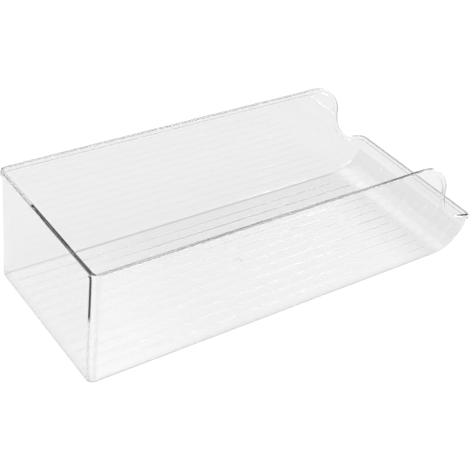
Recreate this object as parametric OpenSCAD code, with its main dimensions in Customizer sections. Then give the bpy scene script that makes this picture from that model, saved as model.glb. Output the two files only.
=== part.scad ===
// Open-fronted fridge bin for drink cans, moulded in one piece from clear plastic.
// The closed end wall is at +Y and the open front with its low lip is at -Y.
// The origin is the middle of the base, on the surface that the bin stands on.

/* [Overall size] */
// Width over the rim
width = 143; // [132:1:220]
// Length over the rim
length = 368; // [260:1:480]
// Height of the walls
height = 98.5; // [90:0.5:160]
// Height of the front lip
lip_height = 33; // [32:1:40]

/* [Walls] */
// Thickness of the walls and the floor
wall = 2; // [1.2:0.1:3]
// Outer radius of the upright corners at the closed end
corner_r = 6; // [5.5:0.5:14]
// Inner radius of the same corners
inner_corner_r = 3; // [2:0.5:5]
// Outer radius of the bottom edges, of the scoop's sides and of the front corners
edge_r = 5; // [3:0.5:5]
// Inner radius of the same edges
inner_edge_r = 1.5; // [1:0.1:1.8]

/* [Rim band] */
// How far the rim band reaches down from the top edge
band_height = 4; // [2:0.5:5]
// How far the rim band stands out from the walls
band_step = 1; // [0.4:0.1:2]

/* [Open front] */
// Outer radius of the scoop between the floor and the lip
scoop_r = 32; // [20:1:32]
// Distance from the lip back to the middle of the crest curve
crest_back = 74; // [70:0.5:110]
// Radius of the crest, where the level top starts to fall
crest_r = 32; // [20:1:36]
// Radius of the dip, where the fall flattens out above the lip
dip_r = 36; // [24:1:40]
// Slope of the side's top edge where it runs out to the lip, in degrees
run_out_slope = 13; // [5:1:18]

/* [Floor ribs] */
// Number of ribs along the floor
rib_count = 12; // [2:2:16]
// Distance between neighbouring ribs
rib_pitch = 10.2; // [6:0.2:14]
// Width of a rib where it meets the floor
rib_width = 2; // [1:0.1:3]
// Width of a rib's flat top
rib_top = 0.8; // [0.4:0.1:0.9]
// Height of a rib above the floor
rib_height = 0.4; // [0.2:0.1:0.8]
// Distance from the end wall's outer face to the end of the ribs
rib_back_gap = 10; // [8:0.5:40]
// How far the ribs climb the scoop, in degrees
rib_climb = 62; // [20:1:75]

/* [Gate mark] */
// Distance from the middle of the bin to the gate mark, towards the closed end
gate_y = 7; // [0:1:60]
// Diameter of the round mark that the moulding gate leaves under the floor
gate_d = 6; // [3:0.5:8]
// Depth of the gate mark
gate_depth = 0.4; // [0.2:0.1:0.8]

/* [Hidden] */
$fn = 96;

// Outer faces of the walls, without the rim band
half_width = width / 2 - band_step;
back_face = length / 2 - band_step;
front_face = -length / 2 + band_step;

// Axis of the scoop
scoop_y = front_face + scoop_r;
scoop_z = scoop_r;

// The side's top edge: the dip circle rests on the straight run-out to the lip,
// whose height above the run-out is dip_line + slope * y for its centre
crest_y = -length / 2 + crest_back;
crest_z = height - crest_r;
slope = tan(run_out_slope);
dip_line = lip_height + slope * length / 2 + dip_r / cos(run_out_slope);

// Tall walls drop straight down between the crest circle and the dip circle
drop_y = crest_y - crest_r;
has_drop = dip_line + slope * (drop_y - dip_r) < crest_z;

// On low walls the two circles touch each other, with no straight drop
touch_a = 1 + slope * slope;
touch_b = slope * (dip_line - crest_z) - crest_y;
touch_c = crest_y * crest_y + pow(dip_line - crest_z, 2) - pow(crest_r + dip_r, 2);
touch_y = (-touch_b - sqrt(touch_b * touch_b - touch_a * touch_c)) / touch_a;

dip_y = has_drop ? drop_y - dip_r : touch_y;
dip_z = dip_line + slope * dip_y;

// Room that the cutting shapes reach past the part
past = 5;

// Ribs: depth of their root in the floor, and their back end
rib_root = wall / 2;
rib_y = back_face - rib_back_gap - rib_width / 2;

// Height of the side's straight run-out, a depth below its top edge
function run_out_z(y, depth) =
    lip_height + slope * (y + length / 2) - depth / cos(run_out_slope);

// Side view of all that lies under the top edge, or a depth below it
module side_view(depth) {
    front = -length / 2 - past;
    back = length / 2 + past;
    r = dip_r + depth;
    difference() {
        union() {
            translate([crest_y, -past])
                square([back - crest_y, height + past - depth]);
            translate([crest_y, crest_z])
                circle(crest_r - depth);
            polygon(concat(
                [[crest_y, -past], [crest_y, crest_z]],
                has_drop ? [[drop_y + depth, crest_z], [drop_y + depth, dip_z]] : [],
                [[dip_y, dip_z],
                [dip_y + r * sin(run_out_slope), dip_z - r * cos(run_out_slope)],
                [front, run_out_z(front, depth)],
                [front, -past]]));
        }
        translate([dip_y, dip_z])
            circle(r);
    }
}

module under_edge(depth) {
    translate([-width / 2 - past, 0, 0])
        rotate([90, 0, 90])
            linear_extrude(width + 2 * past)
                side_view(depth);
}

// Upright strip next to a corner's axis, with one round lower edge
module wall_profile(inset, upright, lower) {
    square_r = upright - lower;
    top = height + past;
    translate([0, inset])
        square([square_r, top - inset]);
    translate([0, inset + lower])
        square([upright, top - inset - lower]);
    translate([square_r, inset + lower])
        intersection() {
            circle(lower);
            translate([0, -lower])
                square(lower);
        }
}

// The same strip on both sides of a flat floor, seen along the bin
module cross_profile(inset, upright, lower) {
    reach_x = half_width - inset - upright;
    for (side = [0, 1])
        mirror([side, 0])
            translate([reach_x, 0])
                wall_profile(inset, upright, lower);
    translate([-reach_x, inset])
        square([2 * reach_x, height + past - inset]);
}

// The tub as a solid block, at an inset from its outer faces, with the radius
// of its upright corners and the radius of its lower edges
module tub(inset, upright, lower) {
    reach_x = half_width - inset - upright;
    reach_y = back_face - inset - upright;

    // Along the floor
    translate([0, reach_y, 0])
        rotate([90, 0, 0])
            linear_extrude(reach_y - scoop_y)
                cross_profile(inset, upright, lower);

    // Closed end
    translate([-reach_x, reach_y, 0])
        rotate([90, 0, 90])
            linear_extrude(2 * reach_x)
                wall_profile(inset, upright, lower);
    for (side = [0, 1])
        mirror([side, 0, 0])
            translate([reach_x, reach_y, 0])
                rotate_extrude(angle = 90)
                    wall_profile(inset, upright, lower);

    // Scoop, which swings the floor's cross section up about its own axis
    translate([0, scoop_y, scoop_z])
        rotate([180, 0, 0])
            rotate([0, -90, 0])
                rotate_extrude(angle = 90)
                    scoop_profile(inset, lower);

    // Above the scoop
    translate([0, 0, scoop_z])
        linear_extrude(height + past - scoop_z)
            front_plan(inset, lower);
}

// Radius outwards and the bin's width upwards, as the scoop's turning needs it
module scoop_profile(inset, lower) {
    square_r = scoop_r - inset - lower;
    reach_x = half_width - inset;
    translate([0, -reach_x])
        square([square_r, 2 * reach_x]);
    translate([0, lower - reach_x])
        square([scoop_r - inset, 2 * (reach_x - lower)]);
    for (side = [0, 1])
        mirror([0, side])
            translate([square_r, reach_x - lower])
                intersection() {
                    circle(lower);
                    square(lower);
                }
}

// Plan of the front end, ahead of the scoop's axis
module front_plan(inset, lower) {
    translate([0, scoop_y])
        rotate(-90)
            scoop_profile(inset, lower);
}

// The strip of wall that the rim band covers, with the band's own thickness
module rim_band() {
    intersection() {
        tub(-band_step, corner_r + band_step, edge_r + band_step);
        difference() {
            under_edge(0);
            under_edge(band_height);
        }
    }
}

// Half of a rib's section, rooted in the floor, with the floor's surface at zero
module rib_half() {
    polygon([
        [0, -rib_root],
        [rib_width / 2, -rib_root],
        [rib_width / 2, 0],
        [rib_top / 2, rib_height],
        [0, rib_height]]);
}

module rib_profile() {
    for (side = [0, 1])
        mirror([side, 0])
            rib_half();
}

// Round end of a rib, by the end wall
module rib_end() {
    rotate_extrude(angle = 180)
        rib_half();
}

// One rib: along the floor, then up the scoop
module rib() {
    translate([0, rib_y, wall]) {
        rib_end();
        rotate([90, 0, 0])
            linear_extrude(rib_y - scoop_y)
                rib_profile();
    }
    translate([0, scoop_y, scoop_z])
        rotate([180, 0, 0])
            rotate([0, -90, 0])
                rotate_extrude(angle = rib_climb)
                    translate([scoop_r - wall, 0])
                        rotate(90)
                            rib_profile();
}

module ribs() {
    for (i = [0:rib_count - 1])
        translate([(i - (rib_count - 1) / 2) * rib_pitch, 0, 0])
            rib();
}

// Shallow round recess in the underside of the floor
module gate_mark() {
    translate([0, gate_y, -past])
        cylinder(d = gate_d, h = past + gate_depth);
}

// The whole moulding
module bin() {
    color([0.90, 0.93, 0.95, 0.45]) {
        difference() {
            union() {
                intersection() {
                    tub(0, corner_r, edge_r);
                    under_edge(0);
                }
                rim_band();
            }
            tub(wall, inner_corner_r, inner_edge_r);
            gate_mark();
        }
        ribs();
    }
}

bin();
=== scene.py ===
"""Clear moulded fridge bin for drink cans, on a white studio floor."""

import math

import bmesh
import bpy
from mathutils import Matrix, Vector


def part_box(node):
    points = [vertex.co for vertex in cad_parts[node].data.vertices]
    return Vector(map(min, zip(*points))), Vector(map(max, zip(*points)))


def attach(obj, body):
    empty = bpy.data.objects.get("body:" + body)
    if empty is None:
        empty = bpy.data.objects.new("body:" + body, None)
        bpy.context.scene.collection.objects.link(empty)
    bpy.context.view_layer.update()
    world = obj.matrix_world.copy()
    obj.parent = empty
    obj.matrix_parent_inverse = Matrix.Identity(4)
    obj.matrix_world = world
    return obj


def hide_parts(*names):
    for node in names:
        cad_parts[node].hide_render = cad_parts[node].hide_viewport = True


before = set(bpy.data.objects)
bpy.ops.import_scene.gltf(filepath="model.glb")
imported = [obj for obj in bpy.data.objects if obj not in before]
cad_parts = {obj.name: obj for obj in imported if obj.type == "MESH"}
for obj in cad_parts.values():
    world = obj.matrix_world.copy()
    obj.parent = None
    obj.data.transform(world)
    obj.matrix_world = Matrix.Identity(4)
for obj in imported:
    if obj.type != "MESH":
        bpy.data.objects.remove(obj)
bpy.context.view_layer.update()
LOW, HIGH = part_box("bin")

MM = 0.001

# Overall size, from the frame
WIDTH = HIGH.x - LOW.x
LENGTH = HIGH.y - LOW.y
HEIGHT = HIGH.z
LIP_HEIGHT = 33 * MM

# Walls and rim band
WALL = 2 * MM
CORNER_R = 6 * MM
INNER_CORNER_R = 3 * MM
EDGE_R = 5 * MM
INNER_EDGE_R = 1.5 * MM
BAND_HEIGHT = 4 * MM
BAND_STEP = 1 * MM
BAND_TOP_R = 0.8 * MM
BAND_FOOT_R = 0.5 * MM
BAND_ROOT_R = 0.4 * MM
INNER_TOP_R = 0.5 * MM

# Open front
SCOOP_R = 32 * MM
CREST_BACK = 74 * MM
CREST_R = 32 * MM
DIP_R = 36 * MM
RUN_OUT_SLOPE = math.radians(13)

# Floor ribs
RIB_COUNT = 12
RIB_PITCH = 10.2 * MM
RIB_FOOT = 1.8 * MM
RIB_TOP = 0.3 * MM
RIB_HEIGHT = 0.4 * MM
RIB_BACK_GAP = 11 * MM
RIB_CLIMB = math.radians(60.5)

# Gate mark under the floor
GATE_Y = 7 * MM
GATE_FOOT = 3.2 * MM
GATE_TOP = 2.6 * MM
GATE_DEPTH = 0.4 * MM

# Thin layer of air between the bin and the floor that it stands on
AIR_UNDER = 0.2 * MM

# Fineness of the mesh
ROUND_STEPS = 16
EDGE_STEPS = 5
CURVE_STEPS = 28
TOP_STEPS = 6
FLOOR_STEPS = 8
GATE_STEPS = 14
SCOOP_STEP = math.radians(3)

# Distances from a rib's middle line, and past its ends, at which the mesh follows its flank
RIB_OFFSETS = [mm * MM for mm in (0, 0.3, 0.5, 0.7, 0.9, 1.1, 1.3, 1.5, 1.7, 1.85)]
RIB_END_OFFSETS = [mm * MM for mm in (-0.4, 0, 0.4, 0.7, 1.0, 1.3, 1.6, 1.9)]

# How far up the scoop the grids of the outer and the inner skin start, below the rim
OUTER_START = math.radians(80)
INNER_START = math.radians(87)

# Room between the ends of a side's top line and the round corners
SIDE_END_GAP = 3 * MM

# Clear plastic: white share, refraction, most haze, and the light that passes in shadows
PLASTIC_WHITE = 0.92
PLASTIC_IOR = 1.57
MOST_HAZE = 0.02
SHADOW_LIGHT = 0.94

# Studio floor: half its size, its colour, and how much of it glows
FLOOR_REACH = 3.0
FLOOR_COLOUR = 0.9
FLOOR_GLOW = 0.75

# Distances between which the floor turns fully white for the camera
ALL_WHITE_FROM = 0.7
ALL_WHITE_AT = 1.5

# Painted brightness of the floor in the plastic, where 1 is white, and the distances of its
# steps: painted shade under and around the bin, painted light where it is mirrored beside it and
# far off
UNDER_BIN_PAINTED_SHADE = 0.96
AROUND_BIN_PAINTED_SHADE = 0.87
FAR_SEEN = 1
FAR_MIRRORED_PAINTED_LIGHT = 2.5
FAR_FROM = 170 * MM
FAR_AT = 220 * MM
BESIDE_SEEN = 0.95
BESIDE_MIRRORED_PAINTED_LIGHT = 2.75
BESIDE_FRONT_SHARE = 0.4
BESIDE_FRONT_Y = -170 * MM
BESIDE_FULL_Y = -110 * MM
BEHIND_BIN = 1.05
SOFT_STEP = 8 * MM

# Painted contact shade on the floor under the round lower edges
SIDE_SHADE = 0.4
END_SHADE = 0.7
SHADE_FROM = 4 * MM
SHADE_AT = 2 * MM

# The room: its brightness, and the directions and brightness of its lights
ROOM_AXIS = (-0.1, -1, 0.3)
ROOM_DIM = 0.12
ROOM_BRIGHT = 0.3
WINDOW_AXIS = (0.62, -0.2, 0.76)
WINDOW_BRIGHT = 1.2
STRIP_AXIS = (0.97, 0, -0.25)
STRIP_BRIGHT = 3
BOX_AXIS = (0.3, 0.03, 0.95)
BOX_SIDE = (-0.85, -0.5, 0)
BOX_BRIGHT = 12
THROUGH_SHARE = 0.2

# Most times that a ray is passed on, so that it gets through all the walls
BOUNCES = 48

# Camera of the photograph
CAMERA_AT = Vector((-538.030, 456.985, 535.516)) * MM
CAMERA_YAW = math.radians(-39.517)
CAMERA_PITCH = math.radians(-35.983)
CAMERA_ROLL = math.radians(7.867)
CAMERA_SENSOR = 36
CAMERA_LENS = 82.358

# Outer faces without the rim band, and the scoop's axis
HALF_WIDTH = WIDTH / 2 - BAND_STEP
HALF_LENGTH = LENGTH / 2 - BAND_STEP
SCOOP_Y = SCOOP_R - HALF_LENGTH
SCOOP_Z = SCOOP_R

# Circles of the side's top edge: the dip rests on the run-out and touches the crest
CREST_Y = CREST_BACK - LENGTH / 2
CREST_Z = HEIGHT - CREST_R
SLOPE = math.tan(RUN_OUT_SLOPE)
DIP_LINE = LIP_HEIGHT + SLOPE * LENGTH / 2 + DIP_R / math.cos(RUN_OUT_SLOPE)
TOUCH_A = 1 + SLOPE ** 2
TOUCH_B = SLOPE * (DIP_LINE - CREST_Z) - CREST_Y
TOUCH_C = CREST_Y ** 2 + (DIP_LINE - CREST_Z) ** 2 - (CREST_R + DIP_R) ** 2
DIP_Y = (-TOUCH_B - math.sqrt(TOUCH_B ** 2 - TOUCH_A * TOUCH_C)) / TOUCH_A
DIP_Z = DIP_LINE + SLOPE * DIP_Y
TOUCH_ANGLE = math.atan2(CREST_Z - DIP_Z, CREST_Y - DIP_Y)


def spread(start, end, steps):
    """Even values from start to end, both of them included."""
    return [start + (end - start) * i / steps for i in range(steps + 1)]


def ridge(across, along, top, foot, height):
    """Height of a rounded step at a place, and its slopes across and along.

    The step is full within a distance top and gone beyond a distance foot."""
    distance = math.hypot(across, along)
    t = min(max((foot - distance) / (foot - top), 0), 1)
    rise = height * t * t * (3 - 2 * t)
    if distance == 0:
        return rise, 0, 0
    slope = -height * 6 * t * (1 - t) / (foot - top)
    return rise, slope * across / distance, slope * along / distance


def radii(inset):
    """Radii of the upright corners and of the lower edges, at an inset from the outer wall."""
    if inset < 0:
        return CORNER_R - inset, EDGE_R - inset
    share = min(inset / WALL, 1)
    return (CORNER_R + (INNER_CORNER_R - CORNER_R) * share,
            EDGE_R + (INNER_EDGE_R - EDGE_R) * share)


def corner_turns():
    """The two upright corners of the closed end: the side, and the angles round the corner."""
    quarter = math.pi / 2
    return (-1, spread(0, quarter, ROUND_STEPS)), (1, spread(quarter, 0, ROUND_STEPS))


# The front and the floor are a grid. A column is (x of its axis, side, angle round the lower
# edge), and a station is (angle up the scoop, y on the floor).

def flat_places():
    """The places across the flat floor that the ribs and the gate mark need."""
    places = set(spread(-GATE_FOOT, GATE_FOOT, GATE_STEPS))
    for i in range(RIB_COUNT):
        middle = (i - (RIB_COUNT - 1) / 2) * RIB_PITCH
        for offset in RIB_OFFSETS:
            places.update((middle - offset, middle + offset))
    return sorted(places)


def columns(inset):
    reach = HALF_WIDTH - inset - radii(inset)[1]
    left = [(-reach, -1, a) for a in spread(0, math.pi / 2, ROUND_STEPS)]
    flat = [(x, 0, math.pi / 2) for x in flat_places()]
    right = [(reach, 1, a) for a in spread(math.pi / 2, 0, ROUND_STEPS)]
    return left + flat + right


def stations(first_angle, last_y):
    """From the front round the scoop and along the floor to the closed end's corners."""
    rib_end = HALF_LENGTH - RIB_BACK_GAP
    angles = spread(first_angle, 0, round(first_angle / SCOOP_STEP))
    angles += [RIB_CLIMB + offset / SCOOP_R for offset in RIB_END_OFFSETS]
    along = [rib_end + offset for offset in RIB_END_OFFSETS]
    along += [GATE_Y + offset for offset in spread(-GATE_FOOT, GATE_FOOT, GATE_STEPS)]
    along += spread(SCOOP_Y, last_y, FLOOR_STEPS)[1:]
    scoop = [(angle, SCOOP_Y) for angle in sorted(set(angles), reverse=True)]
    return scoop + [(0, y) for y in sorted(along)]


def rib_relief(column, station):
    """Height of the ribs on the floor's upper face, and its slopes across and along."""
    x, side, _ = column
    along = station[1] - SCOOP_Y - station[0] * (SCOOP_R - WALL)
    if side != 0:
        return 0, 0, 0
    middle = RIB_COUNT / 2 - 0.5
    nearest = min(max(round(x / RIB_PITCH + middle), 0), RIB_COUNT - 1)
    across = x - (nearest - middle) * RIB_PITCH
    back = HALF_LENGTH - RIB_BACK_GAP - SCOOP_Y
    front = -RIB_CLIMB * (SCOOP_R - WALL)
    past = along - min(max(along, front), back)
    return ridge(across, past, RIB_TOP, RIB_FOOT, RIB_HEIGHT)


def gate_relief(column, station):
    """Depth of the gate mark in the floor's lower face, and its slopes across and along."""
    x, side, _ = column
    if side != 0 or station[0] != 0:
        return 0, 0, 0
    return ridge(x, station[1] - GATE_Y, GATE_TOP, GATE_FOOT, GATE_DEPTH)


def skin_point(column, station, inset, facing, relief):
    """A point of the outer or inner skin and its normal, which faces out of the plastic."""
    x, side, angle = column
    turn, y = station
    lower = radii(inset)[1]
    ny, nz = -math.sin(turn), -math.cos(turn)
    swing = SCOOP_R - inset - lower
    axis = Vector((x, y + swing * ny, SCOOP_Z + swing * nz))
    out = Vector((side * math.cos(angle), ny * math.sin(angle), nz * math.sin(angle)))
    height, across, along = relief(column, station)
    normal = out + Vector((across, -nz * along, ny * along))
    return axis + out * (lower - height), normal.normalized() * facing


def closed_end_rows(inset, facing):
    """The lower edge round the closed end, as rows of points from the wall down to the floor."""
    upright, lower = radii(inset)
    reach_x = HALF_WIDTH - inset - upright
    reach_y = HALF_LENGTH - inset - upright
    rows = []
    for side, angles in corner_turns():
        for a in angles:
            wall = Vector((side * math.cos(a), math.sin(a), 0))
            axis = Vector((side * reach_x, reach_y, inset + lower)) + wall * (upright - lower)
            outs = [wall * math.cos(b) - Vector((0, 0, math.sin(b)))
                    for b in spread(0, math.pi / 2, ROUND_STEPS)]
            rows.append([(axis + out * lower, out * facing) for out in outs])
    return rows


def run_out_z(y, depth):
    return LIP_HEIGHT + SLOPE * (y + LENGTH / 2) - depth / math.cos(RUN_OUT_SLOPE)


def side_line(depth):
    """Points and normals, in side view, of a line that lies a depth below a side's top edge."""
    run_out = (-math.sin(RUN_OUT_SLOPE), math.cos(RUN_OUT_SLOPE))
    front = EDGE_R + SIDE_END_GAP - HALF_LENGTH
    line = [((front, run_out_z(front, depth)), run_out)]
    for a in spread(RUN_OUT_SLOPE - math.pi / 2, TOUCH_ANGLE, CURVE_STEPS):
        c, s = math.cos(a), math.sin(a)
        r = DIP_R + depth
        line.append(((DIP_Y + r * c, DIP_Z + r * s), (-c, -s)))
    for a in spread(math.pi + TOUCH_ANGLE, math.pi / 2, CURVE_STEPS)[1:]:
        c, s = math.cos(a), math.sin(a)
        r = CREST_R - depth
        line.append(((CREST_Y + r * c, CREST_Z + r * s), (c, s)))
    for y in spread(CREST_Y, HALF_LENGTH - CORNER_R - SIDE_END_GAP, TOP_STEPS)[1:]:
        line.append(((y, HEIGHT - depth), (0, 1)))
    return line


def rim_loop(inset, depth, lean):
    """A closed line round the rim, as (point, normal) pairs in four parts.

    The four parts are the front and the back, each with its two round corners, and the left
    and the right side, from the front to the back. Lean is the normal in the rim's section:
    how far it faces inwards and how far it faces down."""
    def normal(plan, up):
        return (Vector(plan) * -lean[0] + Vector(up) * -lean[1]).normalized()

    front, back = [], []
    slanted = (0, -math.sin(RUN_OUT_SLOPE), math.cos(RUN_OUT_SLOPE))
    upright, lower = radii(inset)
    for x, side, angle in columns(inset):
        c, s = math.cos(angle), math.sin(angle)
        swing = SCOOP_R - inset - lower + lower * s
        z = run_out_z(SCOOP_Y - swing, depth)
        reach = math.sqrt(swing ** 2 - max(SCOOP_Z - z, 0) ** 2)
        front.append((Vector((x + side * lower * c, SCOOP_Y - reach, z)),
                      normal((side * c, -s, 0), slanted)))
    reach_x = HALF_WIDTH - inset - upright
    reach_y = HALF_LENGTH - inset - upright
    for side, angles in corner_turns():
        for a in angles:
            plan = Vector((side * math.cos(a), math.sin(a), 0))
            back.append((Vector((side * reach_x, reach_y, HEIGHT - depth)) + plan * upright,
                         normal(plan, (0, 0, 1))))
    left, right = [
        [(Vector((side * (HALF_WIDTH - inset), y, z)), normal((side, 0, 0), (0, my, mz)))
         for (y, z), (my, mz) in side_line(depth)]
        for side in (-1, 1)]
    return front, back, left, right


def rim_section():
    """The rim's section from the outer wall over the band to the inner wall.

    Each entry is (inset, depth, lean) with the edges rounded."""
    section = []

    def turn(inset, depth, radius, start, end):
        for a in spread(math.radians(start), math.radians(end), EDGE_STEPS):
            c, s = math.cos(a), math.sin(a)
            section.append((inset + radius * c, depth + radius * s, (c, s)))

    turn(-BAND_ROOT_R, BAND_HEIGHT + BAND_ROOT_R, -BAND_ROOT_R, 180, 90)
    turn(BAND_FOOT_R - BAND_STEP, BAND_HEIGHT - BAND_FOOT_R, BAND_FOOT_R, 90, 180)
    turn(BAND_TOP_R - BAND_STEP, BAND_TOP_R, BAND_TOP_R, 180, 270)
    turn(WALL - INNER_TOP_R, INNER_TOP_R, INNER_TOP_R, 270, 360)
    return section


def build_bin():
    """The whole moulding as one closed mesh with smooth normals."""
    mesh = bmesh.new()
    normals = []

    def add(pairs):
        made = []
        for point, normal in pairs:
            made.append(mesh.verts.new(point))
            normals.append(normal)
        return made

    def quads(row, following):
        for a, b, c, d in zip(row, row[1:], following[1:], following):
            corners = list(dict.fromkeys((a, b, c, d)))
            if len(corners) > 2:
                mesh.faces.new(corners)

    loops = []
    for inset, depth, lean in rim_section():
        loops.append([add(part) for part in rim_loop(inset, depth, lean)])
    closed = []
    for front, back, left, right in loops:
        closed.append(front + right + back[::-1] + left[::-1] + front[:1])
    for loop, following in zip(closed, closed[1:]):
        quads(loop, following)

    skins = (
        (loops[0], 0, 1, OUTER_START, gate_relief),
        (loops[-1], WALL, -1, INNER_START, rib_relief))
    for (front, back, left, right), inset, facing, first_angle, relief in skins:
        rows = [front]
        across = columns(inset)
        for station in stations(first_angle, HALF_LENGTH - inset - radii(inset)[0]):
            rows.append(add(skin_point(column, station, inset, facing, relief)
                            for column in across))
        for row, following in zip(rows, rows[1:]):
            quads(row, following)

        turns = closed_end_rows(inset, facing)
        end = [rows[-1][:ROUND_STEPS + 1]]
        end += [add(pairs) for pairs in turns[1:-1]]
        end.append(rows[-1][:-ROUND_STEPS - 2:-1])
        for row, following in zip(end, end[1:]):
            quads(row, following)
        quads([row[0] for row in end], back)
        mesh.faces.new([row[-1] for row in end] + rows[-1][-ROUND_STEPS - 2:ROUND_STEPS:-1])

        for edge, column, corner in ((left, 0, back[0]), (right, -1, back[-1])):
            mesh.faces.new([row[column] for row in rows] + [corner] + edge[::-1])

    mesh.verts.index_update()
    bmesh.ops.recalc_face_normals(mesh, faces=mesh.faces)
    for face in mesh.faces:
        face.smooth = True
    data = bpy.data.meshes.new("clear_bin")
    mesh.to_mesh(data)
    mesh.free()
    data.normals_split_custom_set_from_vertices([tuple(n) for n in normals])
    piece = bpy.data.objects.new("clear_bin", data)
    bpy.context.collection.objects.link(piece)
    return piece


def new_material(name):
    material = bpy.data.materials.new(name)
    material.use_nodes = True
    tree = material.node_tree
    tree.nodes.clear()
    return material, tree


def grey(level):
    return level, level, level, 1


def clear_plastic():
    """Clear, glossy moulded plastic with a faint haze, which lets most lamp light through."""
    material, tree = new_material("clear_plastic")
    nodes, link = tree.nodes, tree.links.new
    place = nodes.new("ShaderNodeTexCoord")
    cloud = nodes.new("ShaderNodeTexNoise")
    cloud.inputs["Scale"].default_value = 28
    cloud.inputs["Detail"].default_value = 2
    link(place.outputs["Object"], cloud.inputs["Vector"])
    haze = nodes.new("ShaderNodeMapRange")
    haze.inputs["To Min"].default_value = 0
    haze.inputs["To Max"].default_value = MOST_HAZE
    link(cloud.outputs["Fac"], haze.inputs["Value"])
    plastic = nodes.new("ShaderNodeBsdfPrincipled")
    plastic.inputs["Base Color"].default_value = grey(PLASTIC_WHITE)
    plastic.inputs["Transmission Weight"].default_value = 1
    plastic.inputs["IOR"].default_value = PLASTIC_IOR
    link(haze.outputs["Result"], plastic.inputs["Roughness"])
    clear = nodes.new("ShaderNodeBsdfTransparent")
    clear.inputs["Color"].default_value = grey(SHADOW_LIGHT)
    rays = nodes.new("ShaderNodeLightPath")
    mix = nodes.new("ShaderNodeMixShader")
    link(rays.outputs["Is Shadow Ray"], mix.inputs[0])
    link(plastic.outputs["BSDF"], mix.inputs[1])
    link(clear.outputs["BSDF"], mix.inputs[2])
    out = nodes.new("ShaderNodeOutputMaterial")
    link(mix.outputs["Shader"], out.inputs["Surface"])
    return material


def maths(tree, operation, first, second=0.0):
    """A Math node's result. Its inputs are sockets or plain numbers."""
    node = tree.nodes.new("ShaderNodeMath")
    node.operation = operation
    for socket, value in zip(node.inputs, (first, second)):
        if isinstance(value, (int, float)):
            socket.default_value = value
        else:
            tree.links.new(value, socket)
    return node.outputs["Value"]


def highest(tree, values):
    total = values[0]
    for value in values[1:]:
        total = maths(tree, "MAXIMUM", total, value)
    return total


def ramp(tree, value, start, end, low, high):
    """A smooth step of a value from low to high."""
    step = tree.nodes.new("ShaderNodeMapRange")
    step.interpolation_type = "SMOOTHSTEP"
    step.inputs["From Min"].default_value = start
    step.inputs["From Max"].default_value = end
    step.inputs["To Min"].default_value = low
    step.inputs["To Max"].default_value = high
    tree.links.new(value, step.inputs["Value"])
    return step.outputs["Result"]


def painted_floor_light_and_shade(tree):
    """Painted brightness of the floor where it is seen or mirrored in the plastic, staged for the
    look.

    It carries painted shade: it is darker under and around the bin, and darker still where the
    bin's round lower edges come down to it. Beside the near wall and far away it carries painted
    light, bright where it is mirrored, and plain where it is seen through the walls."""
    nodes, link = tree.nodes, tree.links.new
    place = nodes.new("ShaderNodeTexCoord")
    parts = nodes.new("ShaderNodeSeparateXYZ")
    link(place.outputs["Object"], parts.inputs["Vector"])
    x, y = parts.outputs["X"], parts.outputs["Y"]
    side = maths(tree, "SUBTRACT", maths(tree, "ABSOLUTE", x), HALF_WIDTH)
    end = maths(tree, "SUBTRACT", maths(tree, "ABSOLUTE", y), HALF_LENGTH)
    edge = highest(tree, [side, end])
    mirrored = nodes.new("ShaderNodeLightPath").outputs["Is Reflection Ray"]
    # Beside the near wall: painted light where the floor is mirrored, and a little darker where
    # it is seen through the walls
    beside = maths(tree, "MULTIPLY",
                   ramp(tree, x, -HALF_WIDTH - SOFT_STEP, -HALF_WIDTH, 1, 0),
                   ramp(tree, y, BESIDE_FRONT_Y, BESIDE_FULL_Y, BESIDE_FRONT_SHARE, 1))
    beside = maths(tree, "MULTIPLY", beside,
                   ramp(tree, mirrored, 0, 1, BESIDE_SEEN, BESIDE_MIRRORED_PAINTED_LIGHT))
    behind = ramp(tree, y, HALF_LENGTH, HALF_LENGTH + SOFT_STEP, 0, BEHIND_BIN)
    # Painted shade: the floor's glow is lower under the bin and around it, out to FAR_FROM
    inside = ramp(tree, edge, -1 * MM, 1 * MM, UNDER_BIN_PAINTED_SHADE, 0)
    away = ramp(tree, edge, FAR_FROM, FAR_AT, AROUND_BIN_PAINTED_SHADE, FAR_SEEN)
    # Painted light: far from the bin the floor glows brighter where it is mirrored
    far = maths(tree, "MULTIPLY", ramp(tree, edge, FAR_FROM, FAR_AT, 0, FAR_MIRRORED_PAINTED_LIGHT), mirrored)
    # Painted contact shade in a narrow band under the round lower edges, ending at the scoop
    near = highest(tree, [ramp(tree, side, -SHADE_FROM, -SHADE_AT, 0, SIDE_SHADE),
                          ramp(tree, end, -SHADE_FROM, -SHADE_AT, 0, END_SHADE)])
    under = ramp(tree, edge, -0.5 * MM, 0.5 * MM, 1, 0)
    ahead = ramp(tree, y, SCOOP_Y - SOFT_STEP, SCOOP_Y + SOFT_STEP, 0, 1)
    contact = maths(tree, "MULTIPLY", maths(tree, "MULTIPLY", near, under), ahead)
    shade = maths(tree, "SUBTRACT", 1, contact)
    return maths(tree, "MULTIPLY", highest(tree, [beside, behind, inside, away, far]), shade)


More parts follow.
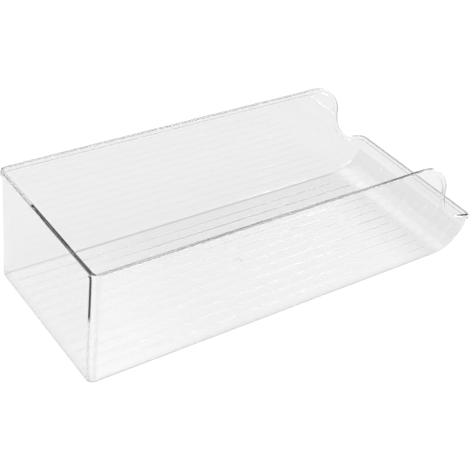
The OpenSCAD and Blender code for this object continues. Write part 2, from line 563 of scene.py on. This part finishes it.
def floor_white():
    """White studio floor: mostly the backdrop's own white, and partly lit, so it keeps a shadow.

    Far from the bin the camera sees only white, so that the floor's end doesn't show."""
    material, tree = new_material("floor_white")
    nodes, link = tree.nodes, tree.links.new
    lit = nodes.new("ShaderNodeBsdfDiffuse")
    lit.inputs["Color"].default_value = grey(FLOOR_COLOUR)
    rays = nodes.new("ShaderNodeLightPath").outputs
    strength = nodes.new("ShaderNodeMix")
    link(rays["Is Camera Ray"], strength.inputs["Factor"])
    # Rays other than the camera's get the floor's painted shade and painted light in the plastic
    link(painted_floor_light_and_shade(tree), strength.inputs["A"])
    strength.inputs["B"].default_value = 1
    white = nodes.new("ShaderNodeEmission")
    white.inputs["Color"].default_value = grey(1)
    link(strength.outputs["Result"], white.inputs["Strength"])
    seen = highest(tree, [rays["Is Camera Ray"], rays["Is Glossy Ray"],
                          rays["Is Transmission Ray"]])
    place = nodes.new("ShaderNodeTexCoord")
    distance = nodes.new("ShaderNodeVectorMath")
    distance.operation = "LENGTH"
    link(place.outputs["Object"], distance.inputs[0])
    far = maths(tree, "MULTIPLY", rays["Is Camera Ray"],
                ramp(tree, distance.outputs["Value"], ALL_WHITE_FROM, ALL_WHITE_AT, 0, 1))
    mix = nodes.new("ShaderNodeMixShader")
    link(highest(tree, [maths(tree, "MULTIPLY", seen, FLOOR_GLOW), far]), mix.inputs[0])
    link(lit.outputs["BSDF"], mix.inputs[1])
    link(white.outputs["Emission"], mix.inputs[2])
    out = nodes.new("ShaderNodeOutputMaterial")
    link(mix.outputs["Shader"], out.inputs["Surface"])
    return material


def build_floor():
    bpy.ops.mesh.primitive_plane_add(size=2 * FLOOR_REACH, location=(0, 0, -AIR_UNDER))
    floor = bpy.context.object
    floor.name = "floor"
    floor.data.materials.append(floor_white())


def towards(tree, direction, axis):
    """How far a direction turns towards an axis, from -1 to 1."""
    dot = tree.nodes.new("ShaderNodeVectorMath")
    dot.operation = "DOT_PRODUCT"
    dot.inputs[1].default_value = Vector(axis).normalized()
    tree.links.new(direction, dot.inputs[0])
    return dot.outputs["Value"]


def build_world():
    """A studio: white for the camera and low down, and above it a grey room with three lights.

    A strip light lies along the bin and shows in the ribs' flanks, a long softbox on the left
    shows in the hollow edges, and a dim window shows in the scoop. The strip and the softbox
    show fully only where they are mirrored, and they don't light the floor."""
    world = bpy.data.worlds.new("studio")
    bpy.context.scene.world = world
    world.use_nodes = True
    tree = world.node_tree
    nodes, link = tree.nodes, tree.links.new
    nodes.clear()
    direction = nodes.new("ShaderNodeTexCoord").outputs["Generated"]
    room = ramp(tree, towards(tree, direction, ROOM_AXIS), -0.6, 0.8, ROOM_DIM, ROOM_BRIGHT)
    window = ramp(tree, towards(tree, direction, WINDOW_AXIS), 0.94, 0.99, 0, WINDOW_BRIGHT)
    off_strip = maths(tree, "ABSOLUTE", towards(tree, direction, STRIP_AXIS))
    strip = ramp(tree, off_strip, 0.06, 0.25, STRIP_BRIGHT, 0)
    off_box = maths(tree, "ABSOLUTE", towards(tree, direction, BOX_AXIS))
    box = maths(tree, "MULTIPLY",
                ramp(tree, off_box, 0.12, 0.24, BOX_BRIGHT, 0),
                ramp(tree, towards(tree, direction, BOX_SIDE), 0.45, 0.6, 0, 1))
    horizon = ramp(tree, towards(tree, direction, (0, 0, -1)), -0.08, -0.02, 0, 1)
    rays = nodes.new("ShaderNodeLightPath").outputs
    share = maths(tree, "MULTIPLY", ramp(tree, rays["Is Reflection Ray"], 0, 1, THROUGH_SHARE, 1),
                  maths(tree, "GREATER_THAN", rays["Is Glossy Ray"], rays["Diffuse Depth"]))
    lights = maths(tree, "MULTIPLY", highest(tree, [strip, box]), share)
    background = nodes.new("ShaderNodeBackground")
    link(highest(tree, [room, window, lights, horizon, rays["Is Camera Ray"]]),
         background.inputs["Color"])
    out = nodes.new("ShaderNodeOutputWorld")
    link(background.outputs["Background"], out.inputs["Surface"])


def area_lamp(name, place, size, power):
    """A soft lamp that faces the middle of the bin, and that doesn't show in the plastic."""
    data = bpy.data.lights.new(name, "AREA")
    data.shape = "RECTANGLE"
    data.size, data.size_y = size
    data.energy = power
    lamp = bpy.data.objects.new(name, data)
    bpy.context.collection.objects.link(lamp)
    lamp.visible_glossy = False
    lamp.visible_transmission = False
    lamp.location = place
    aim = Vector((0, 0, HEIGHT / 2)) - Vector(place)
    lamp.rotation_euler = aim.to_track_quat("-Z", "Y").to_euler()


def build_lamps():
    area_lamp("key", (-2.2, 1.5, 4.2), (2.2, 2.2), 240)
    area_lamp("fill", (-0.5, -4.0, 4.0), (2.2, 2.2), 125)


def build_camera():
    data = bpy.data.cameras.new("camera")
    data.sensor_width = CAMERA_SENSOR
    data.sensor_height = CAMERA_SENSOR
    data.lens = CAMERA_LENS
    data.clip_start = 10 * MM
    camera = bpy.data.objects.new("camera", data)
    bpy.context.collection.objects.link(camera)
    level = math.cos(CAMERA_PITCH)
    ahead = Vector((level * math.cos(CAMERA_YAW), level * math.sin(CAMERA_YAW),
                    math.sin(CAMERA_PITCH)))
    turn = ahead.to_track_quat("-Z", "Y").to_matrix() @ Matrix.Rotation(CAMERA_ROLL, 3, "Z")
    camera.matrix_world = Matrix.Translation(CAMERA_AT) @ turn.to_4x4()
    bpy.context.scene.camera = camera


def settings():
    scene = bpy.context.scene
    scene.view_settings.view_transform = "Standard"
    scene.cycles.max_bounces = BOUNCES
    scene.cycles.transmission_bounces = BOUNCES
    scene.cycles.glossy_bounces = BOUNCES


build_camera()
clear_bin = build_bin()
clear_bin.data.materials.append(clear_plastic())
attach(clear_bin, "root")
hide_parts("bin")
build_floor()
build_world()
build_lamps()
settings()
